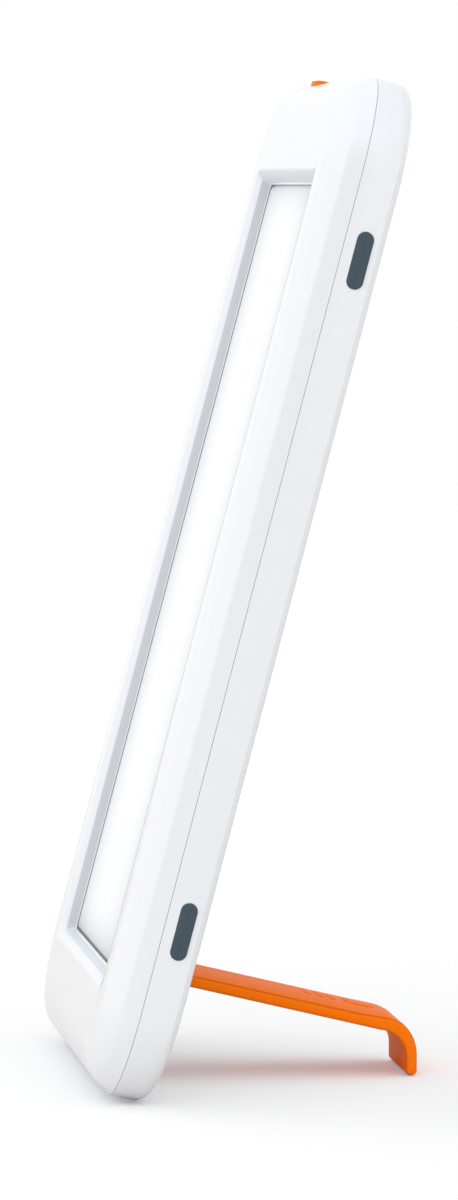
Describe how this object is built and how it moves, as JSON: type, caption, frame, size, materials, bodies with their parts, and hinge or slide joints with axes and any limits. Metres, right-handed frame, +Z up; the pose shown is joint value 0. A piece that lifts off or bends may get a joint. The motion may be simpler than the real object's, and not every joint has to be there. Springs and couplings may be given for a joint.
{
  "type": "light therapy lamp",
  "caption": "Slim tablet-shaped light therapy lamp: white two-part casing, recessed opal window, rubber feet, edge power button and an orange fold-out stand on a turning hub in the back",
  "frame": {"origin": "On the level the lamp stands on, at the middle of the whole object's bounding box in X and Y, with the stand folded out", "axes": "+Z is up. +Y points from the window side to the back, where the stand is. +X is to the right of a person facing the window. The casing leans back by 14.78 degrees, so its top is towards +Y."},
  "size_m": [0.1562, 0.0804, 0.23],
  "materials": {
    "white_shell": "glossy cool white moulded plastic",
    "opal": "smooth opal diffuser, lit white",
    "clear_guide": "clear polished acrylic light guide",
    "white_film": "matt white reflector film",
    "sheet_metal": "folded bare aluminium sheet",
    "board_green": "green circuit board",
    "black_plastic": "black moulded plastic",
    "orange_plastic": "satin orange moulded plastic",
    "slate_rubber": "dark slate rubber",
    "steel": "plain steel"
  },
  "bodies": {
    "casing": {"front_frame": "white_shell", "rear_shell": "white_shell", "diffuser_screen": "opal", "light_guide": "clear_guide", "reflector_sheet": "white_film", "back_plate": "sheet_metal", "led_strip_left": "board_green", "led_strip_right": "board_green", "control_board": "board_green", "tactile_switch": "black_plastic", "dc_socket": "black_plastic", "side_foot_upper": "slate_rubber", "side_foot_lower": "slate_rubber", "base_foot_left": "slate_rubber", "base_foot_right": "slate_rubber", "case_screw_1": "steel", "case_screw_2": "steel", "case_screw_3": "steel", "case_screw_4": "steel", "case_screw_5": "steel", "case_screw_6": "steel", "plate_screw_1": "steel", "plate_screw_2": "steel", "plate_screw_3": "steel", "plate_screw_4": "steel", "board_screw_1": "steel", "board_screw_2": "steel"},
    "button": {"power_button": "orange_plastic"},
    "plunger": {"switch_plunger": "black_plastic"},
    "hub": {"swivel_hub": "white_shell", "hub_retaining_ring": "steel", "hinge_pin": "steel", "hinge_washer_left": "steel", "hinge_washer_right": "steel"},
    "leg": {"stand_leg": "orange_plastic"}
  },
  "joints": [
    {"name": "power_press", "type": "slide", "parent": "casing", "child": "button", "axis": [0, -0.2551, -0.9669], "range_m": [0, 0.0007], "stiffness_N_per_m": 2000, "springref_m": -0.0005},
    {"name": "plunger_press", "type": "slide", "parent": "casing", "child": "plunger", "axis": [0, -0.2551, -0.9669], "range_m": [0, 0.0007]},
    {"name": "stand_swivel", "type": "hinge", "parent": "casing", "child": "hub", "pos_m": [-0.00011, -0.0056, 0.07458], "axis": [0, -0.9669, 0.2551], "range_deg": [0, 90]},
    {"name": "stand_fold", "type": "hinge", "parent": "hub", "child": "leg", "pos_m": [-0.00011, -0.02158, 0.02501], "axis": [1, 0, 0], "range_deg": [0, 88.5]}
  ],
  "couplings": [
    {"joint": "plunger_press", "follows": "power_press", "ratio": 1}
  ]
}
